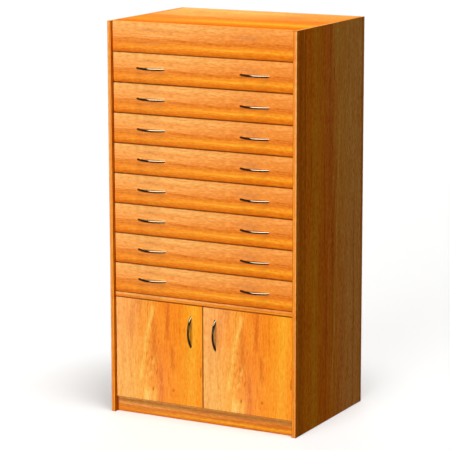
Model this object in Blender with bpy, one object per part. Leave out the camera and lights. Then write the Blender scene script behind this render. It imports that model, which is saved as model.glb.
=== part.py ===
"""Tall cabinet for large sheets of paper: eight shallow drawers over a two-door cupboard.

Run with Blender 4.5: blender --background --python part.py

Lengths are in metres. The front faces -Y, +X is to the right and +Z is up. The origin is on the
floor, under the middle of the cabinet's outer box, which takes in the handles.
"""

import math

import bmesh
import bpy
from mathutils import Matrix, Vector
from mathutils.geometry import interpolate_bezier, tessellate_polygon

# Outer size of the carcass
WIDTH = 0.950
DEPTH = 0.690
HEIGHT = 1.810

# Sheet materials
BOARD = 0.020  # carcass boards, drawer fronts and doors
DRAWER_BOARD = 0.016
HARDBOARD = 0.004
EDGE_EASE = 0.0008

# Clearances
SEAT_GAP = 0.0003  # between two faces that touch
FRONT_GAP = 0.003  # between neighbouring fronts
SIDE_GAP = 0.0015  # between a front and a side panel
CLOSING_GAP = 0.001  # between a closed door and the edges behind it
OVERRUN = 0.004  # how far a cutter reaches past what it cuts
FUSE = 0.0004  # how far two shapes of one piece reach into each other

# The front, from the floor up
PANEL_LEAD = 0.014  # side panels stand this far in front of the faces
PLINTH_HEIGHT = 0.070
PLINTH_SETBACK = 0.012
DOOR_HEIGHT = 0.473
FASCIA_HEIGHT = 0.1355
DRAWER_COUNT = 8

# Drawer boxes
BOX_LIFT = 0.010  # from the front's lower edge up to the box
BOX_DROP = 0.025  # from the front's upper edge down to the box
BOX_BACK_SPACE = 0.012
BOTTOM_LIFT = 0.010  # under the thin bottom of a box

# Roller runners
RUNNER_SPACE = 0.013  # between a side panel and a drawer box
RUNNER_END_SPACE = 0.040
SHEET_METAL = 0.0012
UPRIGHT_WIDTH = 0.025
UPRIGHT_INSET = 0.070
UPRIGHT_END = 0.010  # past the outermost channels
CHANNEL_LIFT = 0.004
CHANNEL_HEIGHT = 0.035
CHANNEL_REACH = 0.0095
RAIL_REACH = 0.010
RAIL_HEIGHT = 0.016
ROLLER_RADIUS = 0.0075
ROLLER_WIDTH = 0.0065
ROLLER_INSET = 0.010
ROLLER_SIDES = 14

# Bow handles
HANDLE_LENGTH = 0.147
HANDLE_HOLES = 0.128  # spacing of the two fixing screws
HANDLE_REACH = 0.028
HANDLE_THICKNESS = 0.006
HANDLE_WIDTH = 0.010
HANDLE_STEPS = 14
HANDLE_CORNER_SHARE = 0.55
HANDLE_INSET = 0.192  # from a drawer front's end to the handle's middle
DOOR_HANDLE_INSET = 0.0615  # from a door's meeting edge
DOOR_HANDLE_DROP = 0.126  # from a door's upper edge to the handle's middle

# Fixed shelf in the cupboard
SHELF_SETBACK = 0.030  # behind the doors
SHELF_RISE = 0.225  # above the bottom board

# Concealed hinges, measured from a door's outer edge and from its back face
HINGE_END_INSET = 0.090
AXIS_INSET = 0.0025  # the line that the door turns about
AXIS_DEPTH = 0.0018  # behind the door's face
CUP_RADIUS = 0.0172
CUP_INSET = 0.0225
CUP_DEPTH = 0.0127
CUP_WALL = 0.0005
CUP_SIDES = 32
LINK_INSET = 0.0020
LINK_BEHIND = 0.0035  # the link's fixed pivot, behind the door
LINK_REACH = 0.033
LINK_CURVE_SHARES = ((0, 0), (1.14, 0.72), (1.09, 0.96), (1, -0.29))
LINK_THICKNESS = 0.0036
LINK_HEIGHT = 0.011
LINK_STEPS = 12
LINK_END_SIDES = 6
RIVET_RADIUS = 0.0009
RIVET_SIDES = 10
ARM_LENGTH = 0.050
ARM_REACH = 0.012
ARM_BASE = 0.002
ARM_CHEEK = 0.0022
ARM_NOSE = 0.0023
ARM_SLOPE = 0.012
ARM_BASE_START = 0.0035

# Places that follow from the sizes above
INNER = WIDTH - 2 * BOARD
PANEL_FRONT = (HANDLE_REACH - PANEL_LEAD - DEPTH) / 2
BACK = PANEL_FRONT + DEPTH
FACE = PANEL_FRONT + PANEL_LEAD
BEHIND = FACE + BOARD  # back faces of the fronts and doors
INSIDE_BACK = BACK - HARDBOARD - SEAT_GAP
FRONT_HALF = INNER / 2 - SIDE_GAP
DOOR_BOTTOM = PLINTH_HEIGHT + SIDE_GAP
DOOR_TOP = DOOR_BOTTOM + DOOR_HEIGHT
DIVIDER_BOTTOM = DOOR_TOP + FRONT_GAP
DIVIDER_TOP = DIVIDER_BOTTOM + BOARD
FASCIA_BOTTOM = HEIGHT - FASCIA_HEIGHT
DRAWER_PITCH = (FASCIA_BOTTOM - DIVIDER_TOP - FRONT_GAP) / DRAWER_COUNT
DRAWER_FRONT = DRAWER_PITCH - FRONT_GAP
BOX_HALF = INNER / 2 - RUNNER_SPACE
BOX_FRONT = BEHIND + SEAT_GAP
BOX_BACK = INSIDE_BACK - BOX_BACK_SPACE
RUNNER_BACK = BOX_BACK - RUNNER_END_SPACE
ROLLER_LIFT = CHANNEL_LIFT + SHEET_METAL + SEAT_GAP + ROLLER_RADIUS
HINGE_HEIGHTS = (("lower", DOOR_BOTTOM + HINGE_END_INSET), ("upper", DOOR_TOP - HINGE_END_INSET))
LINK_Y = BEHIND + LINK_BEHIND
BOTTOM_TOP = PLINTH_HEIGHT + BOARD
SIDES = (("left", -1), ("right", 1))

MATERIALS = {
    # name: (base colour, roughness, metallic)
    "laminate": ((0.80, 0.33, 0.08), 0.42, 0.0),
    "hardboard": ((0.34, 0.20, 0.10), 0.75, 0.0),
    "chrome": ((0.80, 0.78, 0.76), 0.10, 1.0),
    "steel": ((0.62, 0.62, 0.63), 0.35, 1.0),
    "runner_paint": ((0.75, 0.74, 0.70), 0.45, 0.0),
}


def clear_scene():
    for obj in list(bpy.data.objects):
        bpy.data.objects.remove(obj, do_unlink=True)


def make_materials():
    for name, (colour, roughness, metallic) in MATERIALS.items():
        material = bpy.data.materials.new(name)
        material.use_nodes = True
        shader = material.node_tree.nodes["Principled BSDF"]
        shader.inputs["Base Color"].default_value = (*colour, 1)
        shader.inputs["Roughness"].default_value = roughness
        shader.inputs["Metallic"].default_value = metallic


def make_object(name, bm, material, origin=(0, 0, 0), parent=None, smooth=False):
    """Turn a bmesh drawn in the cabinet's frame into an object with its origin at a given point."""
    bmesh.ops.recalc_face_normals(bm, faces=bm.faces)
    origin = Vector(origin)
    bmesh.ops.translate(bm, vec=-origin, verts=bm.verts)
    mesh = bpy.data.meshes.new(name)
    bm.to_mesh(mesh)
    bm.free()
    mesh.materials.append(bpy.data.materials[material])
    if smooth:
        mesh.shade_smooth()
        mesh.set_sharp_from_angle(angle=math.radians(40))
    obj = bpy.data.objects.new(name, mesh)
    bpy.context.collection.objects.link(obj)
    obj.location = origin
    if parent:
        obj.parent = parent
        obj.location = origin - parent.location
    return obj


def make_pivot(name, place):
    """An empty on a joint's axis, which carries the pieces that move there."""
    pivot = bpy.data.objects.new(name, None)
    bpy.context.collection.objects.link(pivot)
    pivot.location = place
    return pivot


def add_block(bm, low, high):
    """A closed box between two corners, given in any order."""
    low, high = Vector(low), Vector(high)
    size = Vector([abs(b - a) for a, b in zip(low, high)])
    place = Matrix.Translation((low + high) / 2) @ Matrix.Diagonal((*size, 1))
    bmesh.ops.create_cube(bm, size=1, matrix=place)


def add_prism(bm, outline, start, end, axis, hole=()):
    """A closed prism: a flat outline, with an optional hole, drawn out along X, Y or Z.

    The outline's two numbers are the other two axes, in X, Y, Z order.
    """
    at = "XYZ".index(axis)
    loops = [loop for loop in (outline, hole) if loop]
    ends = []
    for level in (start, end):
        ends.append([[bm.verts.new([*point[:at], level, *point[at:]]) for point in loop] for loop in loops])
    for first, second in zip(*ends):
        for i in range(len(first)):
            bm.faces.new((first[i - 1], first[i], second[i], second[i - 1]))
    flat = [[Vector((*point, 0)) for point in loop] for loop in loops]
    caps = tessellate_polygon(flat) if hole else [range(len(outline))]
    for rings in ends:
        corners = [vert for ring in rings for vert in ring]
        for cap in caps:
            bm.faces.new([corners[i] for i in cap])


def circle(centre, radius, sides):
    turns = [math.tau * (i + 0.5) / sides for i in range(sides)]
    return [(centre[0] + radius * math.cos(t), centre[1] + radius * math.sin(t)) for t in turns]


def make_board(name, low, high, parent=None, material="laminate"):
    """A board with its edges eased, its origin at its middle."""
    bm = bmesh.new()
    add_block(bm, low, high)
    middle = (Vector(low) + Vector(high)) / 2
    board = make_object(name, bm, material, middle, parent)
    ease = board.modifiers.new("eased edges", "BEVEL")
    ease.width = EDGE_EASE
    ease.segments = 1
    return board


def make_carcass():
    half = INNER / 2 - SEAT_GAP
    for side, sign in SIDES:
        make_board(
            "side_panel_" + side,
            (min(sign * INNER, sign * WIDTH) / 2, PANEL_FRONT, 0),
            (max(sign * INNER, sign * WIDTH) / 2, BACK, HEIGHT),
        )
    make_board("top_board", (-half, BEHIND + SEAT_GAP, HEIGHT - BOARD), (half, INSIDE_BACK, HEIGHT))
    make_board("fascia_panel", (-half, FACE, FASCIA_BOTTOM), (half, BEHIND, HEIGHT))
    make_board("divider_board", (-half, FACE, DIVIDER_BOTTOM), (half, INSIDE_BACK, DIVIDER_TOP))
    make_board("bottom_board", (-half, BEHIND + CLOSING_GAP, PLINTH_HEIGHT), (half, INSIDE_BACK, BOTTOM_TOP))
    plinth_front = FACE + PLINTH_SETBACK
    make_board(
        "plinth_board",
        (-half, plinth_front, 0),
        (half, plinth_front + BOARD, PLINTH_HEIGHT - SEAT_GAP),
    )
    bm = bmesh.new()
    add_block(bm, (-half, INSIDE_BACK + SEAT_GAP, 0), (half, BACK, HEIGHT))
    make_object("back_panel", bm, "hardboard", (0, BACK, HEIGHT / 2))


def make_shelf():
    half = INNER / 2 - SEAT_GAP
    height = BOTTOM_TOP + SHELF_RISE
    make_board("inner_shelf", (-half, BEHIND + SHELF_SETBACK, height), (half, INSIDE_BACK, height + BOARD))


def add_bow(bm, centre, along):
    """A bow handle: a strip between two arcs, fat at its feet, standing out of a face towards -Y.

    Both arcs end in the plane of the feet, and their chords meet the screw spacing half way.
    """
    across = Vector((0, 0, 1)) if along.x else Vector((1, 0, 0))
    chords = (HANDLE_LENGTH, 2 * HANDLE_HOLES - HANDLE_LENGTH)
    rises = (HANDLE_REACH - SEAT_GAP, HANDLE_REACH - SEAT_GAP - HANDLE_THICKNESS)
    corner = HANDLE_CORNER_SHARE
    section = [(1, corner), (corner, 1), (-corner, 1), (-1, corner)]
    section += [(-a, -b) for a, b in section]
    rings = []
    for step in range(HANDLE_STEPS + 1):
        share = 2 * step / HANDLE_STEPS - 1
        outer, inner = (arc_point(chord / 2, rise, share) for chord, rise in zip(chords, rises))
        middle, arm = (outer + inner) / 2, (outer - inner) / 2
        ring = []
        for a, b in section:
            flat = middle + arm * a
            out = Vector((0, -1, 0)) * flat.y
            ring.append(bm.verts.new(centre + along * flat.x + out + across * (b * HANDLE_WIDTH / 2)))
        rings.append(ring)
    for first, second in zip(rings, rings[1:]):
        for i in range(len(section)):
            bm.faces.new((first[i - 1], first[i], second[i], second[i - 1]))
    bm.faces.new(rings[0])
    bm.faces.new(rings[-1])


def arc_point(half_chord, rise, share):
    """A point on a circular arc over a chord: its place along the chord and its height above it."""
    spread = 2 * math.atan2(rise, half_chord)
    radius = half_chord / math.sin(spread)
    turn = share * spread
    return Vector((radius * math.sin(turn), radius * (math.cos(turn) - math.cos(spread))))


def make_handle(name, centre, along, parent):
    bm = bmesh.new()
    add_bow(bm, Vector(centre), along)
    make_object(name, bm, "chrome", centre, parent, smooth=True)


def drawer_bottom_edge(number):
    """Height of a drawer front's lower edge. Drawers are counted from the top."""
    return FASCIA_BOTTOM - number * DRAWER_PITCH


def make_drawer(number):
    low = drawer_bottom_edge(number)
    middle = low + DRAWER_FRONT / 2
    slide = make_pivot(f"drawer_slide_{number}", (0, FACE, middle))
    make_board(
        f"drawer_front_{number}",
        (-FRONT_HALF, FACE, low),
        (FRONT_HALF, BEHIND, low + DRAWER_FRONT),
        slide,
    )
    make_drawer_box(number, low + BOX_LIFT, low + DRAWER_FRONT - BOX_DROP, slide)
    for side, sign in SIDES:
        centre = (sign * (FRONT_HALF - HANDLE_INSET), FACE - SEAT_GAP, middle)
        make_handle(f"handle_{number}_{side}", centre, Vector((1, 0, 0)), slide)


def make_drawer_box(number, low, high, parent):
    """A glued box: four walls with a thin bottom let into them, and its two rails with their rollers."""
    bm = bmesh.new()
    add_block(bm, (-BOX_HALF, BOX_FRONT, low), (BOX_HALF, BOX_BACK, high))
    hollow_out(bm, 1, DRAWER_BOARD, high - low - BOTTOM_LIFT - HARDBOARD)
    hollow_out(bm, -1, DRAWER_BOARD, BOTTOM_LIFT)
    box = make_object(f"drawer_box_{number}", bm, "laminate", (0, BOX_FRONT, low), parent)
    rails, rollers = bmesh.new(), bmesh.new()
    top = low + ROLLER_LIFT + ROLLER_RADIUS + SEAT_GAP + SHEET_METAL
    for _, sign in SIDES:
        face = sign * (BOX_HALF - FUSE)
        web = face + sign * SHEET_METAL
        tip = face + sign * RAIL_REACH
        rail = [
            (face, top - RAIL_HEIGHT),
            (web, top - RAIL_HEIGHT),
            (web, top - SHEET_METAL),
            (tip, top - SHEET_METAL),
            (tip, top),
            (face, top),
        ]
        add_prism(rails, rail, BOX_FRONT + SEAT_GAP, RUNNER_BACK, "Y")
        wheel = circle((RUNNER_BACK - ROLLER_INSET, low + ROLLER_LIFT), ROLLER_RADIUS, ROLLER_SIDES)
        inner = web - sign * FUSE
        add_prism(rollers, wheel, inner, inner + sign * ROLLER_WIDTH, "X")
    fuse(box, rails, "rails")
    fuse(box, rollers, "rollers")


def hollow_out(bm, up, wall, depth):
    """Sink the top face (up is 1) or the bottom face (up is -1) of a block inside a wall all round."""
    face = max(bm.faces, key=lambda f: f.calc_center_median().z * up)
    bmesh.ops.inset_region(bm, faces=[face], thickness=wall, use_even_offset=True)
    sunk = bmesh.ops.extrude_discrete_faces(bm, faces=[face])["faces"][0]
    bmesh.ops.translate(bm, vec=(0, 0, -up * depth), verts=sunk.verts)


def fuse(obj, bm, what):
    extra = make_object(f"{what}_of_{obj.name}", bm, "steel")
    combine(obj, extra, "UNION")


def cut_away(obj, bm, what):
    cutter = make_object(f"{what}_of_{obj.name}", bm, "steel")
    combine(obj, cutter, "DIFFERENCE")


def combine(obj, other, operation):
    """Join another shape to an object, or cut it away, and keep that shape out of renders."""
    other.hide_render = True
    other.display_type = "WIRE"
    step = obj.modifiers.new(other.name, "BOOLEAN")
    step.operation = operation
    step.object = other


def make_runner_rack(side, sign):
    """One side's runners: a channel with a front roller for each drawer, on two upright straps."""
    face = sign * (INNER / 2 - SEAT_GAP)
    strap = face - sign * SHEET_METAL
    near = strap + sign * FUSE
    web = near - sign * SHEET_METAL
    tip = near - sign * CHANNEL_REACH
    channels, rollers, uprights = bmesh.new(), bmesh.new(), bmesh.new()
    for number in range(1, DRAWER_COUNT + 1):
        box_low = drawer_bottom_edge(number) + BOX_LIFT
        low = box_low + CHANNEL_LIFT
        high = low + CHANNEL_HEIGHT
        channel = [
            (near, low),
            (tip, low),
            (tip, low + SHEET_METAL),
            (web, low + SHEET_METAL),
            (web, high - SHEET_METAL),
            (tip, high - SHEET_METAL),
            (tip, high),
            (near, high),
        ]
        add_prism(channels, channel, BOX_FRONT, RUNNER_BACK, "Y")
        wheel = circle((BOX_FRONT + ROLLER_INSET, box_low + ROLLER_LIFT), ROLLER_RADIUS, ROLLER_SIDES)
        outer = web + sign * FUSE
        add_prism(rollers, wheel, outer, outer - sign * ROLLER_WIDTH, "X")
    bottom = drawer_bottom_edge(DRAWER_COUNT) + BOX_LIFT + CHANNEL_LIFT - UPRIGHT_END
    top = drawer_bottom_edge(1) + BOX_LIFT + CHANNEL_LIFT + CHANNEL_HEIGHT + UPRIGHT_END
    for start in (BOX_FRONT + UPRIGHT_INSET, RUNNER_BACK - UPRIGHT_INSET - UPRIGHT_WIDTH):
        add_block(uprights, (face, start, bottom), (strap, start + UPRIGHT_WIDTH, top))
    rack = make_object("runner_rack_" + side, channels, "runner_paint", (face, BOX_FRONT, bottom))
    fuse(rack, uprights, "uprights")
    fuse(rack, rollers, "rollers")


def make_door(side, sign):
    outer = sign * FRONT_HALF
    meeting = sign * FRONT_GAP / 2
    axis = (outer - sign * AXIS_INSET, FACE + AXIS_DEPTH, (DOOR_BOTTOM + DOOR_TOP) / 2)
    pivot = make_pivot("door_hinge_" + side, axis)
    door = make_board(
        "door_" + side,
        (min(outer, meeting), FACE, DOOR_BOTTOM),
        (max(outer, meeting), BEHIND, DOOR_TOP),
        pivot,
    )
    cup_x = outer - sign * CUP_INSET
    holes = bmesh.new()
    for level, height in HINGE_HEIGHTS:
        hole = circle((cup_x, height), CUP_RADIUS + SEAT_GAP, CUP_SIDES)
        add_prism(holes, hole, BEHIND - CUP_DEPTH - SEAT_GAP, BEHIND + OVERRUN, "Y")
        make_hinge_cup(f"hinge_cup_{side}_{level}", (cup_x, height), pivot)
        make_hinge_link(f"hinge_link_{side}_{level}", sign, height)
        make_hinge_arm(f"hinge_arm_{side}_{level}", sign, height)
    cut_away(door, holes, "cup_holes")
    centre = (meeting + sign * DOOR_HANDLE_INSET, FACE - SEAT_GAP, DOOR_TOP - DOOR_HANDLE_DROP)
    make_handle("door_handle_" + side, centre, Vector((0, 0, 1)), pivot)


def make_hinge_cup(name, centre, parent):
    """A pressed cup let into a door's back, open towards the cabinet."""
    profile = [
        (0, BEHIND - CUP_DEPTH),
        (CUP_RADIUS, BEHIND - CUP_DEPTH),
        (CUP_RADIUS, BEHIND),
        (CUP_RADIUS - CUP_WALL, BEHIND),
        (CUP_RADIUS - CUP_WALL, BEHIND - CUP_DEPTH + CUP_WALL),
        (0, BEHIND - CUP_DEPTH + CUP_WALL),
    ]
    bm = bmesh.new()
    add_turned(bm, profile, centre, CUP_SIDES)
    make_object(name, bm, "steel", (centre[0], BEHIND, centre[1]), parent, smooth=True)


def add_turned(bm, profile, centre, sides):
    """Turn a profile of radius and depth about a line along Y. Its two ends lie on the line."""
    rings = []
    for radius, depth in profile:
        if radius:
            rings.append([bm.verts.new((x, depth, z)) for x, z in circle(centre, radius, sides)])
        else:
            rings.append([bm.verts.new((centre[0], depth, centre[1]))] * sides)
    for first, second in zip(rings, rings[1:]):
        for i in range(sides):
            corners = (first[i - 1], first[i], second[i], second[i - 1])
            bm.faces.new(list(dict.fromkeys(corners)))


def link_outline(sign, pivot):
    """Outline of a gooseneck link in plan, from its pivot at the arm to its tip in the cup."""
    knots = [Vector(shares) * LINK_REACH for shares in LINK_CURVE_SHARES]
    path = interpolate_bezier(*knots, LINK_STEPS)
    outline = round_end(path[0], path[0] - path[1])
    outline += side_of_path(path, 1)
    outline += round_end(path[-1], path[-1] - path[-2])
    outline += side_of_path(path, -1)[::-1]
    return [(pivot[0] - sign * point.x, pivot[1] + point.y) for point in outline]


def round_end(centre, outward):
    """Half a circle round a path's end, on its right-hand side first."""
    heading = math.atan2(outward.y, outward.x)
    turns = [heading + math.pi * (i / LINK_END_SIDES - 0.5) for i in range(LINK_END_SIDES + 1)]
    return [centre + Vector((math.cos(t), math.sin(t))) * LINK_THICKNESS / 2 for t in turns]


def side_of_path(path, side):
    """The inner points of a path, moved half a link's thickness to its left (1) or right (-1)."""
    moved = []
    for before, here, after in zip(path, path[1:], path[2:]):
        along = (after - before).normalized()
        moved.append(here - Vector((-along.y, along.x)) * side * LINK_THICKNESS / 2)
    return moved


def make_hinge_link(name, sign, height):
    """The link between a hinge's arm and its cup, with its origin on the rivet that it turns about."""
    pivot = (sign * (FRONT_HALF - LINK_INSET), LINK_Y)
    hole = circle(pivot, RIVET_RADIUS + SEAT_GAP, RIVET_SIDES)
    bm = bmesh.new()
    low = height - LINK_HEIGHT / 2
    add_prism(bm, link_outline(sign, pivot), low, low + LINK_HEIGHT, "Z", hole)
    make_object(name, bm, "steel", (*pivot, height), smooth=True)


def make_hinge_arm(name, sign, height):
    """A folded arm on a side panel. Two cheeks at its nose hold the rivet of the link between them."""
    slot = LINK_HEIGHT / 2 + SEAT_GAP
    rivet_in = SIDE_GAP + LINK_INSET  # from the side panel
    end = LINK_Y + ARM_LENGTH
    turns = [math.pi * (i / LINK_END_SIDES - 1) / 2 for i in range(LINK_END_SIDES + 1)]
    arm = [(SEAT_GAP, end), (SEAT_GAP, LINK_Y - ARM_NOSE)]
    arm += [(rivet_in + ARM_NOSE * math.cos(t), LINK_Y + ARM_NOSE * math.sin(t)) for t in turns]
    arm += [(ARM_REACH, LINK_Y + ARM_SLOPE), (ARM_REACH, end)]
    base = SEAT_GAP + ARM_BASE
    opening = [
        (-OVERRUN, LINK_Y - ARM_SLOPE),
        (-OVERRUN, LINK_Y + ARM_BASE_START),
        (base, LINK_Y + ARM_BASE_START),
        (base, end + OVERRUN),
        (ARM_REACH + OVERRUN, end + OVERRUN),
        (ARM_REACH + OVERRUN, LINK_Y - ARM_SLOPE),
    ]
    rivet = circle((rivet_in, LINK_Y), RIVET_RADIUS, RIVET_SIDES)
    shapes = []
    for outline, half in ((arm, slot + ARM_CHEEK), (opening, slot), (rivet, slot + FUSE)):
        bm = bmesh.new()
        plan = [(sign * (INNER / 2 - x), y) for x, y in outline]
        add_prism(bm, plan, height - half, height + half, "Z")
        shapes.append(bm)
    hinge_arm = make_object(name, shapes[0], "steel", (sign * INNER / 2, LINK_Y, height))
    cut_away(hinge_arm, shapes[1], "slot")
    fuse(hinge_arm, shapes[2], "rivet")


def main():
    clear_scene()
    make_materials()
    make_carcass()
    make_shelf()
    for number in range(1, DRAWER_COUNT + 1):
        make_drawer(number)
    for side, sign in SIDES:
        make_runner_rack(side, sign)
        make_door(side, sign)


main()
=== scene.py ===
"""Looks for the paper drawer cabinet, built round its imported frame.

Lengths are in metres, in the frame's own axes: the front faces -Y, +X is to the right and +Z is
up. Boards take their places from the frame's boxes, and fittings from the boards that carry them.
"""

import math

import bmesh
import bpy
from bpy.props import FloatProperty, FloatVectorProperty, IntProperty, PointerProperty
from mathutils import Matrix, Quaternion, Vector


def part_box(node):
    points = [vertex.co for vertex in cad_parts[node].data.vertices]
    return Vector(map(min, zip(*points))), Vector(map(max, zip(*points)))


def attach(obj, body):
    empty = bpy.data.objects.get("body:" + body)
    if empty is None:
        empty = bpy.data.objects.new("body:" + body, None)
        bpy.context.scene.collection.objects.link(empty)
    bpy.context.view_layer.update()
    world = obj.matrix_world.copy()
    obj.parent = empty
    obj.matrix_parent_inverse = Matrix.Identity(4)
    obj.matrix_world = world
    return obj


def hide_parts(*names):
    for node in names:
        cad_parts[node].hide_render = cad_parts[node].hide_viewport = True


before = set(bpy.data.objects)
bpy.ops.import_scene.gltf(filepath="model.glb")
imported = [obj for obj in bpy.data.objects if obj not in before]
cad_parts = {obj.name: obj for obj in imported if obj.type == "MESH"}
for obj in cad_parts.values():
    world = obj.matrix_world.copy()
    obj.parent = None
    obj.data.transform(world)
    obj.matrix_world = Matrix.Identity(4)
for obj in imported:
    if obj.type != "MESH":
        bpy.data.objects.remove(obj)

bl_info = {
    "name": "Paper drawer cabinet",
    "version": (1, 0, 0),
    "blender": (4, 5, 0),
    "location": "3D View > Sidebar > Cabinet",
    "description": "Builds the boards, drawers, doors, fittings and finishes of a paper drawer cabinet",
    "category": "Object",
}

X, Y, Z = range(3)
SIDES = (("left", -1), ("right", 1))
LEVELS = ("upper", "lower")
DRAWERS = range(1, sum(name.startswith("drawer_front_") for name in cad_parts) + 1)

# The frame's own boxes, which the pieces below are fitted to
INSIDE = -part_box("side_panel_left")[1].x  # from the middle of the cabinet to a side panel's inner face
FRONT_LOW, FRONT_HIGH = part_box("drawer_front_1")
BOX_LOW, BOX_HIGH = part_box("drawer_box_1")
BOW_LOW, BOW_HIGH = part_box("handle_1_left")
RACK_LOW, RACK_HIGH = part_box("runner_rack_left")
PITCH = FRONT_LOW.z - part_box("drawer_front_2")[0].z

# Roundings and clearances
SHEET_EASE = 0.0003  # on thin sheets and straps, and on boards that meet flush
PLATE_EASE = 0.0004  # on the back and the hinge plates
RAIL_SPARE = 0.0004  # the frame's rails reach this much further than the rails made here
RAIL_SETBACK = 0.0003  # from a drawer box's front end to its rails
ROLLER_PLAY = 0.0003  # between a roller and the metal that it runs on
BORE_GAP = 0.0002  # round a hinge cup, in its door
MERGE = 0.00001  # vertices closer than this are one

# A screw's head in shares of its radius, its dome as (reach, share of the height)
RECESS_ARM_SHARE, RECESS_SLOT_SHARE, RECESS_DEPTH_SHARE = 0.62, 0.15, 0.42
HEAD_HEIGHT_SHARE = 0.55
DOME_SHARES = ((1.0, 0.0), (1.0, 0.35), (0.86, 0.75), (0.70, 1.0))

# Head radii of the screws, by what they hold or where they sit
HEAD_RADII = {
    "front": 0.0042, "strap": 0.0038, "channel": 0.0030, "rail": 0.0032,
    "cup": 0.0040, "wing": 0.0042, "arm": 0.0040,
}

# Places of the screws along what they hold
FRONT_SCREW_SHARES = (0.08, 0.36, 0.64, 0.92)
CHANNEL_SCREW_SHARES = (0.3, 0.55, 0.8)
RAIL_SCREW_SHARES = (0.06, 0.35, 0.65, 0.9)
ARM_SCREW_SHARES = (0.32, 0.78)
FRONT_SCREW_LIFT, CHANNEL_SCREW_LIFT = 0.010, 0.004  # above the middle of the box and the channel

# Print tones as they look in plain light, in 8 bit display values
TONES = {
    "light": (255, 188, 104),
    "butter": (255, 188, 84),
    "yellow": (255, 166, 48),
    "amber": (255, 160, 52),
    "rust": (222, 114, 36),
    "clay": (228, 120, 54),
    "brown": (176, 78, 26),
    "smoke": (214, 128, 70),
    "ember": (224, 108, 18),
    "umber": (196, 104, 20),
    # This tone is painted shade: the shadow that the doors' overhang casts on the plinth's upper part.
    "dusk": (186, 114, 50),
}
PRINT_LEVEL = 1.08  # what the lamps brighten is taken off the tones

# Tones across the grain at the print's start and at its end: (share across, display colour)
FRONT_START = (
    (0.00, (254, 172, 94)),
    (0.35, (252, 164, 84)),
    (0.50, (246, 154, 72)),
    (0.56, (232, 136, 54)),
    (0.66, (236, 136, 48)),
    (0.80, (244, 142, 44)),
    (0.90, (232, 128, 36)),
    (1.00, (206, 106, 26)),
)
FRONT_END = (
    (0.00, (246, 158, 76)),
    (0.30, (240, 146, 64)),
    (0.50, (232, 130, 46)),
    (0.62, (228, 124, 36)),
    (0.70, (246, 144, 38)),
    (0.78, (255, 160, 40)),
    (0.88, (236, 128, 26)),
    (1.00, (202, 102, 18)),
)
DOOR_START = (
    (0.00, (255, 172, 92)),
    (0.14, (255, 164, 82)),
    (0.28, (254, 154, 64)),
    (0.38, (253, 156, 56)),
    (0.50, (248, 142, 40)),
    (0.60, (240, 130, 34)),
    (0.74, (252, 144, 34)),
    (0.83, (255, 154, 34)),
    (0.90, (255, 168, 42)),
    (1.00, (250, 146, 32)),
)
DOOR_END = (
    (0.00, (255, 176, 92)),
    (0.20, (255, 174, 82)),
    (0.30, (255, 166, 70)),
    (0.42, (250, 152, 60)),
    (0.52, (238, 134, 54)),
    (0.58, (252, 144, 50)),
    (0.72, (255, 146, 40)),
    (0.87, (255, 158, 44)),
    (1.00, (252, 142, 34)),
)
TONE_TURN_SHARES = (0.1, 0.9)  # along the grain, from the tones at the start to those at the end

# Streaks of a print, in shares of a board's length and width:
# (tone, strength, place across at the start, lean, reach, start, end, fade)
FRONT_STREAK_SHARES = (
    ("light", 0.50, 0.14, 0.00, 0.10, 0.28, 0.66, 0.10),
    ("light", 0.45, 0.08, 0.00, 0.08, -0.10, 0.20, 0.10),
    ("light", 0.45, 0.44, 0.00, 0.035, 0.10, 0.34, 0.06),
    ("yellow", 0.60, 0.76, 0.01, 0.055, 0.30, 1.10, 0.12),
    ("yellow", 0.40, 0.84, 0.00, 0.03, 0.05, 0.35, 0.10),
    ("ember", 0.50, 0.96, 0.00, 0.05, -0.10, 1.10, 0.10),
    ("ember", 0.45, 0.885, 0.00, 0.02, 0.35, 0.90, 0.10),
    ("smoke", 0.55, 0.25, 0.00, 0.08, 0.16, 0.24, 0.05),
    ("smoke", 0.35, 0.68, 0.00, 0.10, 0.14, 0.26, 0.06),
    ("smoke", 0.70, 0.34, 0.00, 0.12, 0.70, 0.80, 0.05),
    ("amber", 0.50, 0.36, -0.05, 0.05, 0.82, 0.94, 0.04),
    ("rust", 0.50, 0.55, 0.12, 0.05, 0.33, 0.48, 0.04),
    ("rust", 0.35, 0.60, -0.08, 0.035, 0.50, 0.80, 0.08),
    ("rust", 0.50, 0.52, 0.00, 0.03, 0.86, 1.10, 0.05),
    ("brown", 0.45, 0.53, 0.00, 0.02, -0.10, 0.13, 0.03),
    ("brown", 0.25, 0.66, 0.05, 0.03, 0.00, 0.20, 0.05),
    ("brown", 0.45, 0.50, 0.00, 0.02, 0.90, 0.97, 0.03),
    ("brown", 0.30, 0.62, 0.00, 0.02, 0.82, 0.90, 0.03),
)
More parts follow.
